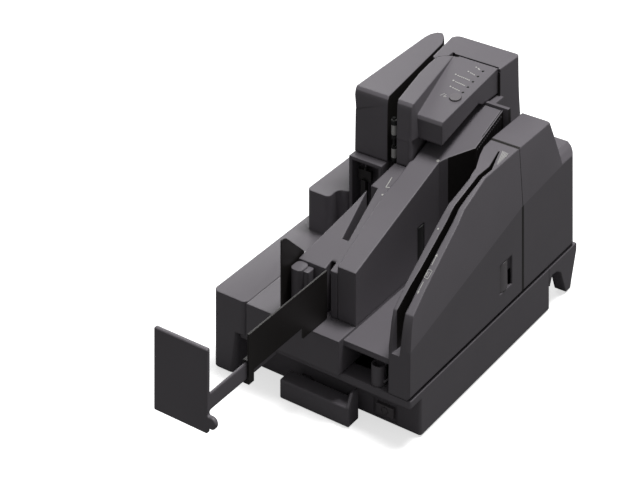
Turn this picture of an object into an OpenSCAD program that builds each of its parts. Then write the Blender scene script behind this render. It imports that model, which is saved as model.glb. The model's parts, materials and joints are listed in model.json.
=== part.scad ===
// Desktop cheque scanner: documents go in at the front right, round the back and out to the left pockets.
// Lengths are in millimetres. Construction places are measured from the base's front right corner on the
// desk, X to the right, Y to the rear; placed() moves them so that the whole machine is centred.

/* [Body] */
// Overall width over the low pocket tray
body_w = 171; // [169:0.5:176]
// Depth from the base's front face to the rear face
body_rear = 231.6; // [230:0.2:240]
// Height of the rear block's flat top
top_h = 167.5; // [166:0.5:172]
// Wall of the moulded casings
wall = 2.5; // [2:0.1:3]
// Seam between neighbouring casings
seam = 0.4; // [0.3:0.05:0.6]
// Clearance of sliding pieces
clear = 0.3; // [0.2:0.05:0.5]
// Radial clearance of turning pins and shafts
fit = 0.05; // [0.03:0.01:0.1]

/* [Base] */
// Width of the base
base_w = 150; // [145:1:156]
// Depth of the base's side wall
base_len = 188; // [180:1:195]
// Height of the base under its rim
base_h = 27; // [24:0.5:29]
// Height of the rim round the base's top
rim_h = 5; // [4:0.5:6]
// How far the rim stands out in front
rim_reach = 14; // [12:0.5:16]
// Height of the rubber feet under the base
foot_h = 1.5; // [1:0.1:2]
// Diameter of a rubber foot
foot_d = 14; // [10:0.5:18]
// Depth of a foot's seat in the base
foot_seat = 1; // [0.5:0.1:1.2]
// Thickness of the side cheeks that end in the rear legs
cheek = 10; // [8:0.5:12]
// Width of the cable arch before each rear leg
arch_w = 12; // [10:0.5:14]
// Height of the cable arch
arch_h = 24; // [20:0.5:25]

/* [Hopper and scanner cover] */
// Height of the hopper floor
deck_h = 55; // [52:0.5:56]
// Width of the scanner cover at its front
unit_w = 18.2; // [17:0.1:20]
// Depth of the scanner cover behind the base's front
cover_len = 146; // [144:0.5:148]
// Height of the scanner cover
unit_h = 142; // [138:0.5:146]
// Height of the card slot's floor
slot_floor = 61; // [59:0.5:63]
// Inward lean of the side above its crease, in degrees
side_lean = 4; // [2:0.5:5]
// Height of the side crease at the cover's rear seam
crease_h = 98.9; // [96:0.1:101]
// Travel of the cover latch
latch_travel = 4; // [3:0.5:5]

/* [Guide and pockets] */
// Height of the guide's left strip at its front edge
guide_front_h = 90.4; // [88:0.2:92]
// Rise of the guide's top from front to rear
guide_rise = 51; // [48:0.5:54]
// Depth of the guide from its front face
guide_len = 183.5; // [180:0.5:186]
// Step of the guide's right half above the left strip
guide_step = 5; // [4:0.5:6]
// Height of the pocket floor
pocket_h = 57; // [56:0.5:58]
// How far the pocket floor reaches in front of the base
pocket_reach = 18.5; // [17:0.5:20]
// Travel of the divider
divider_travel = 60; // [50:1:62]
// Travel of the end stop along the divider
stop_travel = 40.5; // [36:0.5:44]

/* [Top blocks] */
// Height of the exit ledge under the left cover
ledge_h = 117.6; // [115:0.2:119]
// Height of the panel's front edge
panel_front_h = 156; // [154:0.5:158]
// Thickness of the panel slab at its front
panel_t = 17; // [15:0.5:18]
// Diameter of the panel button
button_d = 9.2; // [8:0.2:11]
// Distance between two panel lamps
lamp_pitch = 7.7; // [7:0.1:8]
// Height of the front rest's top
rest_h = 14; // [12:0.5:16]

/* [Hidden] */
$fn = 48;
dark = [0.23, 0.23, 0.24];
mid = [0.30, 0.29, 0.31];
black = [0.08, 0.07, 0.07];
pale = [0.75, 0.75, 0.73];
steel = [0.65, 0.66, 0.68];
// Overrun of the cuts
over = 1;
// Length that the outlines' points are shares of
share_len = 100;

// Rear depth of the divider and stop in front of the base
stop_front = 140;
module placed() translate([body_w / 2, (stop_front - body_rear) / 2, 0]) children();

// A cuboid between two corners
module block(x0, x1, y0, y1, z0, z1) translate([x0, y0, z0]) cube([x1 - x0, y1 - y0, z1 - z0]);
// An outline in Y and Z, extruded along X
module side_form(x0, x1, points)
    translate([x0, 0, 0]) rotate([90, 0, 90]) linear_extrude(x1 - x0) polygon(points);
// An outline in X and Z, extruded along Y
module front_form(y0, y1, points)
    translate([0, y1, 0]) rotate([90, 0, 0]) linear_extrude(y1 - y0) polygon(points);
// An outline in X and Y, extruded along Z
module plan_form(z0, z1, points) translate([0, 0, z0]) linear_extrude(z1 - z0) polygon(points);
// A cuboid with rounded upright edges
module round_block(x0, x1, y0, y1, z0, z1, r) translate([0, 0, z0]) linear_extrude(z1 - z0) {
    translate([x0 + r, y0]) square([x1 - x0 - 2 * r, y1 - y0]);
    translate([x0, y0 + r]) square([x1 - x0, y1 - y0 - 2 * r]);
    for (x = [x0 + r, x1 - r], y = [y0 + r, y1 - r]) translate([x, y]) circle(r);
}
// An upright cylinder between two heights
module post(x, y, r, z0, z1) translate([x, y, z0]) cylinder(r = r, h = z1 - z0);
// A rod along Y
module rod_y(x, z, r, y0, y1) translate([x, y1, z]) rotate([90, 0, 0]) cylinder(r = r, h = y1 - y0);
// A rod along X
module rod_x(y, z, r, x0, x1) translate([x0, y, z]) rotate([0, 90, 0]) cylinder(r = r, h = x1 - x0);
// Shares of two sizes turned into lengths
function sized(shares, a, b) = [for (s = shares) [s[0] * a, s[1] * b]];

// Base tray and what sits in it
rim_top = base_h + rim_h;
leg_w = 14;
leg_d = 6;
button_x0 = -40;
button_x1 = -20;
button_h = 15;
button_z = 2.4;
power_travel = 1.5;
power_t = 3;
module leg_shape(x0) side_form(x0, x0 + cheek, [
    [base_len - over, base_h], [base_len, arch_h * 0.75], [base_len + arch_w / 3, arch_h + over],
    [base_len + arch_w, arch_h], [base_len + arch_w + leg_d, arch_h * 0.85], [base_len + arch_w + leg_w, foot_h],
    [body_rear - leg_w * 0.75, foot_h], [body_rear, base_h], [body_rear, rim_top],
    [base_len - over, rim_top]]);
module base_tray() color(dark) placed() difference() {
    union() {
        round_block(-base_w, 0, 0, base_len, foot_h, base_h + over, 2 * over);
        round_block(-base_w, 0, -rim_reach, base_len, base_h, rim_top, 2 * over);
        leg_shape(-cheek);
        leg_shape(-base_w);
    }
    block(-base_w + wall, -wall, wall, base_len - wall, foot_h + wall, rim_top + over);
    // recess and shaft of the power button
    block(button_x0, button_x1, -over, power_t / 2, button_z, button_h);
    block(button_x0 + wall, button_x1 - wall, -over, wall + over, button_z + wall, button_h - wall);
    // openings of the rear connectors
    block(inlet_x - inlet_w / 2 - clear, inlet_x + inlet_w / 2 + clear,
        base_len - wall - over, base_len + over, inlet_z - clear, inlet_z + inlet_h + clear);
    block(data_x - data_w / 2 - clear, data_x + data_w / 2 + clear,
        base_len - wall - over, base_len + over, inlet_z - clear, inlet_z + data_h + clear);
    // slots of the front rest's two arms
    for (x = rest_arms) block(x - arm_w / 2 - clear, x + arm_w / 2 + clear,
        -over, wall + over, arm_z - clear, arm_z + arm_t + clear);
    // seats of the feet
    for (x = foot_xs, y = foot_ys) post(x, y, foot_d / 2 + clear, 0, foot_h + foot_seat);
}
foot_inset = 18;
foot_xs = [-base_w + foot_inset, -foot_inset];
foot_ys = [foot_inset, base_len - foot_inset];
module rubber_feet() color(black) placed()
    for (x = foot_xs, y = foot_ys) post(x, y, foot_d / 2, 0, foot_h + foot_seat);
screw_inset = 34;
screw_r = 2.6;
screw_shank = 1.4;
screw_head = 1.6;
module base_screws() color(steel) placed()
    for (x = [-base_w + screw_inset, -screw_inset], y = [screw_inset, base_len - screw_inset]) {
        post(x, y, screw_r, foot_h + wall, foot_h + wall + screw_head);
        post(x, y, screw_shank, foot_h + wall, board_z);
    }
module power_button() color(mid) placed() difference() {
    block(button_x0 + wall + clear, button_x1 - wall - clear, -power_t / 4, wall + over + power_travel,
        button_z + wall + clear, button_h - wall - clear);
    translate([(button_x0 + button_x1) / 2, 0, (button_h + button_z) / 2]) rotate([90, 0, 0])
        difference() {
            cylinder(r = button_h / 5, h = power_t);
            translate([0, 0, -over]) cylinder(r = button_h / 7, h = power_t + 2 * over);
        }
}
board_z = 9;
board_t = 1.6;
board_inset = 8;
module circuit_board() color([0.10, 0.28, 0.16]) placed() difference() {
    block(-base_w + board_inset, -board_inset, screw_inset / 2, base_len - wall - clear,
        board_z, board_z + board_t);
    post(motor_x, motor_y, motor_r + over, 0, board_z + wall);
}
inlet_x = -118;
inlet_w = 16;
inlet_h = 10;
inlet_z = board_z + board_t;
socket_len = 14;
data_x = -84;
data_w = 12;
data_h = 11;
module supply_inlet() color(black) placed() difference() {
    block(inlet_x - inlet_w / 2, inlet_x + inlet_w / 2, base_len - socket_len, base_len, inlet_z,
        inlet_z + inlet_h);
    rod_y(inlet_x, inlet_z + inlet_h / 2, inlet_h * 0.4, base_len - socket_len * 0.7, base_len + over);
}
module data_socket() color(steel) placed() difference() {
    block(data_x - data_w / 2, data_x + data_w / 2, base_len - socket_len, base_len, inlet_z,
        inlet_z + data_h);
    block(data_x - data_w / 2 + over, data_x + data_w / 2 - over, base_len - socket_len * 0.7,
        base_len + over, inlet_z + over, inlet_z + data_h - over);
}

// Deck: the moulding that carries hopper floor, pocket floor, guide and housing
deck_z = rim_top + seam;
floor_t = 4;
floor_front = 11.7;
cavity_w = 38;
cavity_back = 16;
deck_left = 140;
hopper_left = 57.9;
hopper_side = unit_w + seam + clear;
drive_x0 = -112;
drive_x1 = -48;
drive_y0 = 76;
drive_y1 = 166;
drive_top = 50;
// Inner outline of the scanner cover as shares of its width and length
inner_shares = [[1, -0.2], [1, 0.384], [0.912, 0.473], [0.808, 0.63], [0.929, 0.716],
    [1.297, 0.833], [1.484, 0.911], [1.52, 1]];
function inner_edge(gap) = [for (s = inner_shares) [-s[0] * unit_w - gap, s[1] * cover_len]];
module deck() color(mid) placed() difference() {
    union() {
        // hopper floor
        block(-hopper_left, -hopper_side, -floor_front, cover_len + seam, deck_h - floor_t, deck_h);
        block(-hopper_left, -hopper_side, cavity_back, cover_len + seam, deck_z, deck_h);
        // pocket floor and its front wall
        block(-deck_left, -hopper_left, -pocket_reach, guide_back + seam, deck_z, pocket_h);
        block(-deck_left, -shell_left - seam, guide_back + seam, body_rear - wall, deck_z, pocket_h);
        block(-hopper_left - over, -shell_in - seam, cover_len - over, guide_back + seam, deck_z, deck_h);
        // ears of the scanner cover's hinge
        for (y = ear_ys) {
            block(-hopper_side - over, cover_axis_x, y - ear_w / 2, y + ear_w / 2,
                cover_axis_z - ear_r, cover_axis_z + ear_r);
            rod_y(cover_axis_x, cover_axis_z, ear_r, y - ear_w / 2, y + ear_w / 2);
        }
    }
    block(drive_x0, drive_x1, drive_y0, drive_y1, deck_z - over, drive_top);
    post(feed_x, feed_y, shaft_r + fit, deck_z, pocket_h + over);
    post(exit_x, exit_y, shaft_r + fit, deck_z, pocket_h + over);
    for (y = ear_ys) rod_y(cover_axis_x, cover_axis_z, hinge_r, y - ear_w, y + ear_w);
    post(leaf_x, leaf_y, pusher_shaft, pocket_h - wall, pocket_h + over);
}
pin_x = -30.4;
pin_y = -7.6;
pin_r = 5.4;
pin_bore = 4.1;
pin_h = 14;
flag_h = 8;
module hollow_pin() color(dark) placed() {
    difference() {
        post(pin_x, pin_y, pin_r, rim_top, rim_top + pin_h);
        post(pin_x, pin_y, pin_bore, rim_top + over, rim_top + pin_h + over);
        block(pin_x, pin_x + pin_r + over, pin_y, pin_y + pin_r / 2, rim_top + over, rim_top + pin_h + over);
    }
    difference() {
        plan_form(rim_top, rim_top + flag_h, [[pin_x + pin_r * 1.6, pin_y - pin_r * 1.4],
            [-hopper_side - over, pin_y - pin_r / 4], [-hopper_side - over, pin_y + pin_r / 4],
            [pin_x + pin_r * 1.8, pin_y + pin_r / 4]]);
        block(pin_x + pin_r * 1.4, pin_x + pin_r * 2.4, pin_y - pin_r * 2, pin_y + pin_r,
            rim_top - over, rim_top + flag_h * 0.8);
    }
}

// Scanner cover, hinged along its lower outer edge
cover_axis_x = -4.5;
cover_axis_z = 36;
ear_r = 2.3;
ear_w = 5;
ear_ys = [22, 122];
hinge_r = 1.2;
rib_t = 2.5;
side_gap = 0.3;
// Side outline of the right unit as shares of its length and height
unit_shares = [[-0.096, 0.2285], [-0.092, 0.458], [-0.066, 0.577], [-0.048, 0.623], [0.066, 0.699],
    [0.197, 0.770], [0.384, 0.875], [0.451, 0.923], [0.658, 0.990], [0.98, 1], [1, 1]];
// Card slot: outer lip to the front then inner lip to the rear, in shares of width and length
slot_shares = [[-0.49, -0.12], [-0.44, 0], [-0.44, 0.37], [-0.42, 0.52], [-0.37, 0.61], [-0.32, 0.747],
    [-0.76, 0.921], [-0.80, 0.914], [-0.53, 0.767], [-0.57, 0.637], [-0.61, 0.562], [-0.687, 0.425],
    [-0.74, 0.14], [-0.84, -0.05], [-0.9, -0.12]];
cavity_top = slot_floor - wall;
cover_rise = 11.6;
shell_rise = 4.1;
module unit_side(rise) intersection() {
    front_form(-rim_reach - over, body_rear, [[-base_w, rim_top + seam], [-side_gap - wall, rim_top + seam],
        [-side_gap, rim_top + seam + wall], [-side_gap, top_h], [-base_w, top_h]]);
    // above the rising crease the side leans inwards
    translate([-side_gap, cover_len, crease_h]) rotate([rise, 0, 0]) rotate([0, -side_lean, 0])
        block(-base_w, 0, -body_rear, body_rear, -body_rear, body_rear);
    children();
}
module scanner_cover() color(dark) placed() difference() {
    intersection() {
        union() {
            block(-unit_w, -side_gap, -cover_len, cover_len, rim_top + seam, unit_h);
            plan_form(deck_h + seam, unit_h, concat(inner_edge(0), [[-wall, cover_len], [-wall, -wall]]));
        }
        unit_side(cover_rise)
            side_form(-2 * unit_w, 0, concat([[cover_len, rim_top + seam]],
                sized(unit_shares, cover_len, unit_h)));
    }
    // hopper wall stands back where the path turns
    plan_form(deck_h - over, unit_h + over, concat([[-2 * unit_w, -unit_w]], inner_edge(0),
        [[-2 * unit_w, cover_len]]));
    // card slot
    plan_form(slot_floor, unit_h + over, sized(slot_shares, unit_w, cover_len));
    // hollow under the slot with ribs beside each hinge ear
    difference() {
        block(-unit_w + wall, cover_axis_x + ear_r + clear + fit, -rim_reach + 2 * wall, cover_len - wall,
            rim_top, cavity_top);
        for (y = ear_ys, s = [-1, 1]) translate([0, y + s * (ear_w / 2 + clear + rib_t / 2), 0])
            block(-unit_w, 0, -rib_t / 2, rib_t / 2, rim_top - over, cavity_top + over);
    }
    for (y = ear_ys) {
        rod_y(cover_axis_x, cover_axis_z, hinge_r + fit, y - ear_w / 2 - clear - rib_t - over,
            y + ear_w / 2 + clear + rib_t + over);
        block(-unit_w - over, -unit_w + wall + over, y - ear_w / 2 - clear, y + ear_w / 2 + clear,
            rim_top, cover_axis_z + ear_r + 3 * clear);
    }
    // latch opening in the outer wall
    block(-wall - side_gap, over, latch_y - clear, latch_y + latch_w + latch_travel + clear,
        latch_z - clear, latch_z + latch_h + clear);
    // bed of the hopper pusher
    block(-unit_w - over, -pusher_x - clear, pusher_y - pusher_barrel - clear, pusher_y + pusher_len + clear,
        pusher_z - clear, pusher_z + pusher_h + clear);
    post(-pusher_x - pusher_t, pusher_y, hinge_r, pusher_z - wall, pusher_z + pusher_h + wall);
}
module cover_hinge_pins() color(steel) placed() for (y = ear_ys)
    rod_y(cover_axis_x, cover_axis_z, hinge_r, y - ear_w / 2 - clear - rib_t, y + ear_w / 2 + clear + rib_t);
head_z = 84;
module card_head() color(steel) placed() plan_form(slot_floor, head_z, sized(head_shares, unit_w, cover_len));
head_shares = [[-0.7275, 0.192], [-0.6895, 0.397], [-0.6456, 0.397], [-0.6835, 0.192]];
latch_y = 111.5;
latch_w = 14;
latch_z = 48;
latch_h = 21;
module cover_latch() color(mid) placed() intersection() {
    block(-wall, side_gap, latch_y, latch_y + latch_w, latch_z, latch_z + latch_h);
    translate([-latch_w, latch_y + latch_w / 2, latch_z]) cylinder(r = latch_w, h = latch_h);
}
pusher_x = 14.4;
pusher_t = 1.8;
pusher_y = 68.5;
pusher_len = 32;
pusher_z = 62;
pusher_h = 32;
pusher_barrel = 1.9;
pusher_shaft = 1;
module hopper_pusher() color(black) placed() difference() {
    union() {
        block(-pusher_x - pusher_t - clear, -pusher_x - 2 * clear, pusher_y, pusher_y + pusher_len - clear,
            pusher_z, pusher_z + pusher_h);
        post(-pusher_x - pusher_t, pusher_y, pusher_barrel - 2 * clear, pusher_z, pusher_z + pusher_h);
    }
    post(-pusher_x - pusher_t, pusher_y, pusher_shaft + fit, pusher_z - over, pusher_z + pusher_h + over);
}
module pusher_pin() color(steel) placed()
    post(-pusher_x - pusher_t, pusher_y, pusher_shaft, pusher_z - wall, pusher_z + pusher_h + wall);

// Right rear shell: a hump behind the cover and a lower section behind it
hump_back = 195;
hump_foot = 214;
hump_r = 7;
low_h = 103.5;
rear_low = 110.5;
shoulder = 8;
shell_in = 28.4;
hump_slant = atan((hump_foot - hump_back) / (unit_h - low_h));
module right_rear_shell() color(dark) placed() unit_side(shell_rise) union() {
    intersection() {
        side_form(-shell_in, 0, [[cover_len + seam, rim_top + seam], [hump_foot, rim_top + seam],
            [hump_foot, low_h], [hump_back, unit_h], [cover_len + seam, unit_h]]);
        translate([0, hump_foot, low_h]) rotate([hump_slant, 0, 0])
            round_block(-2 * shell_in, 0, -body_rear, 0, -body_rear, body_rear, hump_r);
    }
    intersection() {
        round_block(-shell_left, 0, guide_back + 2 * seam, body_rear, rim_top + seam, rear_low, shoulder);
        front_form(guide_back, body_rear, [[-shell_left, rim_top + seam], [0, rim_top + seam],
            [0, low_h], [-shoulder / 2, rear_low - wall], [-shoulder, rear_low], [-shell_left, rear_low]]);
    }
}
shell_left = 49;

// Centre guide between the hopper and the exit pockets
guide_y = 3.5;
slope = guide_rise / guide_len;
function guide_z(y) = guide_front_h + (y - guide_y) * slope;
strip_back = 109.5;
guide_back = guide_y + guide_len;
channel_x0 = -84.6;
channel_x1 = -80;
channel_z0 = pocket_h;
channel_z1 = 92.5;
channel_back = 81;
path_w = 7;
guide_left_shares = [[-1.082, 0.035], [-0.99, 0.64], [-0.972, 0.82], [-0.925, 1.095], [-0.78, 1.095],
    [-0.74, 0.035]];
module guide_left() intersection() {
    plan_form(pocket_h + fit, top_h, sized(guide_left_shares, share_len, share_len));
    side_form(-body_w, 0, [[guide_y, 0], [guide_y, guide_front_h], [strip_back, guide_z(strip_back)],
        [strip_back, 0]]);
}
guide_right_shares = [[-0.735, 0.035], [-0.775, 0.466], [-0.8, 0.735], [-0.785, 0.92], [-0.79, 1.095],
    [-0.774, 1.12], [-0.776, 1.5], [-0.795, 1.87], [-0.392, 1.87], [-0.392, 1.41], [-0.538, 1.245],
    [-0.579, 1.18], [-0.579, 0.035]];
module under_slope(depth) side_form(-body_w, 0, [[guide_y, 0], [guide_y, guide_front_h + guide_step - depth],
    [guide_back, guide_z(guide_back) + guide_step - depth], [guide_back, 0]]);
module guide_right() intersection() {
    plan_form(deck_h + fit, top_h, sized(guide_right_shares, share_len, share_len));
    under_slope(0);
}
wall_x = -39.2;
throat_rib_y = 144;
throat_rib_r = 0.6;
throat_rib_pitch = 2.4;
throat_rib_count = 16;
lip_x0 = -60;
lip_x1 = -32;
lip_w = 3.5;
groove = 0.5;
inset_y = 153.3;
module throat_ribs() intersection() {
    for (i = [0:throat_rib_count - 1]) post(wall_x, throat_rib_y + i * throat_rib_pitch, throat_rib_r,
        deck_h + fit, top_h);
    under_slope(wall);
}
// Fine groove round the inset, cut along the slope
module groove_cut(x0, x1, y0, y1) difference() {
    block(x0, x1, y0, y1, pocket_h, top_h);
    under_slope(2 * groove);
}
module centre_guide() color(mid) placed() difference() {
    union() {
        guide_left();
        guide_right();
        throat_ribs();
        // raised lip across the rear, which also closes the throat
        block(lip_x0, lip_x1, guide_back - lip_w, guide_back, deck_h + fit, guide_z(guide_back) + guide_step + over);
    }
    groove_cut(lip_x0, wall_x - over, guide_back - lip_w - groove, guide_back - lip_w);
    groove_cut(wall_x - over - groove, wall_x - over, inset_y, guide_back - lip_w);
    // foot of the left half where the pocket floor is higher
    block(-body_w, -hopper_left + fit, 0, body_rear, 0, pocket_h + fit);
    // channel of the divider and the stop's rail
    block(channel_x0, channel_x1, 0, channel_back, channel_z0, channel_z1);
    // oblique path to the sub-pocket
    plan_form(channel_z0, top_h, sized(oblique_shares, share_len, share_len));
    plan_form(channel_z0, guide_front_h - wall, concat(sized(entry_shares, share_len, share_len),
        [[-channel_w, 0], [-channel_w - path_w / 2, 0]]));
    // pocket and bearings of the feed roller
    post(feed_x, feed_y, feed_r + clear, roller_z - clear, roller_z + roller_h + clear);
    post(feed_x, feed_y, shaft_r + fit, deck_h, roller_z + roller_h + 2 * wall);
    // seat of the magnetic head
    block(-hopper_left, wall_x + over, mag_y - clear, mag_y + mag_w + clear, mag_z - clear, mag_z + mag_h + clear);
}
oblique_shares = [[-0.887, 0.315], [-0.985, 0.83], [-0.909, 0.83], [-0.83, 0.315]];
entry_shares = [[-0.887, 0.316], [-0.83, 0.316]];
channel_w = 79;
nose_x = -108;
nose_y = -9;
nose_w = 10;
nose_r = 4;
lobe_w = 4;
lobe_r = 1.9;
module guide_nose() color(mid) placed() {
    round_block(nose_x, nose_x + nose_w, nose_y, guide_y - fit, pocket_h, guide_front_h - over, nose_r);
    round_block(nose_x + nose_w - over, nose_x + nose_w + lobe_w, nose_y + nose_r, guide_y - fit, pocket_h,
        guide_front_h - wall, lobe_r);
}
leaf_x = -109.6;
leaf_y = 13;
leaf_t = 1;
leaf_r = 1.8;
leaf_top_shares = [[-0.17, 1.124], [-0.14, 1.122], [-0.103, 1.11], [0.1, 0.933], [0.13, 0.905]];
leaf_front = 17;
leaf_pin_z = 90;
module exit_leaf() color(black) placed() difference() {
    union() {
        side_form(leaf_x - leaf_t / 2, leaf_x + leaf_t / 2, concat([[leaf_y, pocket_h + clear],
            [-leaf_front, pocket_h + clear]], sized(leaf_top_shares, share_len, share_len)));
        post(leaf_x, leaf_y, leaf_r, pocket_h + clear, leaf_pin_z - over);
    }
    post(leaf_x, leaf_y, pusher_shaft + fit, pocket_h, leaf_pin_z + leaf_r);
}
module leaf_pin() color(steel) placed() post(leaf_x, leaf_y, pusher_shaft, pocket_h - wall, leaf_pin_z);
mag_y = 155;
mag_w = 10;
mag_z = 60;
mag_h = 12;
mag_d = 6;
module magnetic_head() color(steel) placed()
    block(wall_x - mag_d, wall_x + clear, mag_y, mag_y + mag_w, mag_z, mag_z + mag_h);

// Divider, end stop and front rest
plate_x0 = -81.9;
plate_x1 = -80.4;
plate_front = 95;
plate_z0 = channel_z0 + clear;
plate_z1 = 92;
rail_x0 = -84.2;
rail_x1 = -82.2;
rail_z0 = 60.4;
rail_z1 = 72.2;
rail_back = 60;
clip_len = 6;
module divider() color(black) placed() {
    difference() {
        block(plate_x0, plate_x1, -plate_front, 0, plate_z0, plate_z1);
        block(plate_x0 - over, plate_x1 + over, -plate_front + clip_len, -rail_back / 2, plate_z0 - over,
            plate_z0 + floor_t * 2);
    }
    difference() {
        block(rail_x0 - clear - leaf_t, plate_x0 + over / 2, -plate_front, -plate_front + clip_len,
            plate_z0, rail_z1 + clear + leaf_t);
        block(rail_x0 - clear, rail_x1 + clear / 2, -plate_front - over, 0, rail_z0 - clear, rail_z1 + clear);
    }
}
end_x0 = -128.6;
end_t = 3.7;
end_z0 = 46.3;
end_z1 = 103;
tab_w = 6.5;
tab_h = 8;
module end_stop() color(dark) placed() {
    block(end_x0, rail_x1, -stop_front, -stop_front + end_t, end_z0, end_z1);
    block(rail_x0, rail_x1, -stop_front + over, -rail_back, rail_z0, rail_z1);
    block(rail_x1 - over, rail_x1 + tab_w / 2, -stop_front, -stop_front + end_t, end_z0 + tab_h / 2,
        end_z0 + tab_h * 1.5);
    rod_y(rail_x1 + tab_w / 2, end_z0 + tab_h, tab_h / 2, -stop_front, -stop_front + end_t);
}
rest_x0 = -108;
rest_x1 = -47.6;
rest_front = 20.8;
rest_back = 7.5;
rest_end = 8;
rest_arms = [-98, -58];
arm_w = 8;
arm_t = 4;
arm_z = 5;
arm_len = 70;
module front_rest() color(dark) placed() {
    difference() {
        block(rest_x0, rest_x1, -rest_front, -rest_back, clear, rest_h);
        block(rest_x0 + wall, rest_x1 - wall, -rest_front + wall, -rest_back + over, -over, rest_h - wall);
    }
    difference() {
        side_form(rest_x1 - wall, rest_x1, [[-rest_front, clear], [-rest_back - wall, clear],
            [-rest_back, rest_h / 3], [-rest_back, rest_h + rest_end], [-rest_front + wall * 2, rest_h + rest_end],
            [-rest_front, rest_h]]);
    }
    for (x = rest_arms) block(x - arm_w / 2, x + arm_w / 2, -rest_front + wall / 2, arm_len - rest_back, arm_z,
        arm_z + arm_t);
}

// Left side shell, exit housing and left cover
shoulder_h = 88;
column_w = 21;
column_x = 161;
column_y = 103;
column_r = 4;
module left_shell() color(dark) placed() difference() {
    union() {
        // low tray beside the main pocket
        block(-body_w, -deck_left - seam, -pocket_reach, strip_back, deck_z, pocket_h);
        block(-body_w, -base_w - seam, -pocket_reach, strip_back, foot_h, deck_z + over);
        block(-column_x, -base_w - seam, strip_back - over, body_rear - leg_w, foot_h, deck_z + over);
        round_block(-column_x, -deck_left - seam, strip_back - column_w, body_rear - wall, deck_z, shoulder_h,
            column_r);
        block(-column_x, -block_left, column_y, body_rear - wall, pocket_h, shoulder_h);
    }
    block(-column_x + wall, -deck_left - 2 * wall, strip_back, body_rear - 3 * wall, deck_z + wall,
        shoulder_h - wall);
}
block_left = 131;
housing_y = 102.5;
slit_x = -100.6;
module exit_housing() color(dark) placed() {
    housing_body();
    // pin of the exit lever
    post(lever_x, lever_y, pusher_shaft, pocket_h + wall, ledge_h - wall);
}
housing_step = 111;
housing_back = 195;
housing_rear_x = -112.5;
recess_d = 12;
module housing_body() difference() {
    union() {
        plan_form(pocket_h, ledge_h, [[-block_left + seam, housing_y], [slit_x, housing_y], [slit_x, housing_step],
            [housing_rear_x, housing_back], [-block_left + seam, housing_back]]);
        // lugs of the left cover's hinge
        for (y = lug_ys) {
            rod_y(left_axis_x, left_axis_z, lug_r, y - ear_w / 2, y + ear_w / 2);
            block(left_axis_x - lug_r, left_axis_x + lug_r, y - ear_w / 2, y + ear_w / 2, ledge_h - over,
                left_axis_z);
        }
    }
    // recess that faces the main pocket
    block(-block_left + wall * 1.3, slit_x - wall, housing_y - over, housing_y + recess_d, pocket_h + wall,
        ledge_h - wall);
    for (y = lug_ys) rod_y(left_axis_x, left_axis_z, pusher_shaft, y - ear_w, y + ear_w);
    // seat of the rear image sensor
    block(sensor_x0 - clear, slit_x, sensor_y - clear, sensor_y + sensor_w + clear, pocket_h + wall, ledge_h + over);
}
lever_x = -119.5;
lever_y = 109.5;
lever_r = 1.9;
lever_w = 12;
lever_z0 = 80;
lever_z1 = 109;
lever_bar = 99;
lever_bar_h = 8;
module exit_lever() color(black) placed() difference() {
    union() {
        post(lever_x, lever_y, lever_r, lever_z0, lever_z1);
        block(lever_x - lever_w / 2, lever_x + lever_w / 2, lever_y - lever_r, lever_y + lever_r / 2, lever_bar,
            lever_bar + lever_bar_h);
        block(lever_x - lever_r, lever_x + lever_r, lever_y - 2 * lever_r, lever_y, lever_z0, lever_bar + over);
    }
    post(lever_x, lever_y, pusher_shaft + fit, lever_z0 - wall, ledge_h);
}
left_axis_x = -129.6;
left_axis_z = 119.7;
lug_r = 1.5;
lug_ys = [128, 188];
left_shares = [[-1.31, 1.1], [-1.002, 1.105], [-1.13, 2.12], [-1.17, 2.22], [-1.227, 2.286], [-1.27, 2.265],
    [-1.3, 2.21], [-1.31, 2.14]];
left_hollow_shares = [[-1.285, 1.13], [-1.03, 1.13], [-1.152, 2.1], [-1.227, 2.25], [-1.285, 2.13]];
// Front profile that both tall covers share: depth, then height as a share of the top
front_shares = [[1.1, 0.7], [1.108, 0.8955], [1.113, 0.965], [1.122, 0.987], [1.14, 1]];
module left_cover() color(dark) placed() difference() {
    intersection() {
        plan_form(ledge_h + seam + clear, top_h, sized(left_shares, share_len, share_len));
        side_form(-body_w, 0, concat(sized(front_shares, share_len, top_h), [[body_rear, top_h],
            [body_rear, front_shares[0][1] * top_h]]));
    }
    plan_form(0, top_h - wall, sized(left_hollow_shares, share_len, share_len));
    for (y = lug_ys) {
        block(-body_w, left_axis_x + lug_r + clear, y - ear_w / 2 - clear, y + ear_w / 2 + clear,
            0, left_axis_z + lug_r + clear);
        rod_y(left_axis_x, left_axis_z, pusher_shaft + fit, y - 2 * ear_w, y + 2 * ear_w);
    }
}
module left_hinge_pins() color(steel) placed() for (y = lug_ys)
    rod_y(left_axis_x, left_axis_z, pusher_shaft, y - ear_w, y + ear_w);
cartridge_x0 = -125;
cartridge_x1 = -114.4;
cartridge_y0 = 140;
cartridge_y1 = 173.5;
cartridge_h = 12;
module print_cartridge() color(black) placed()
    block(cartridge_x0, cartridge_x1, cartridge_y0, cartridge_y1, ledge_h, ledge_h + cartridge_h);

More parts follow.
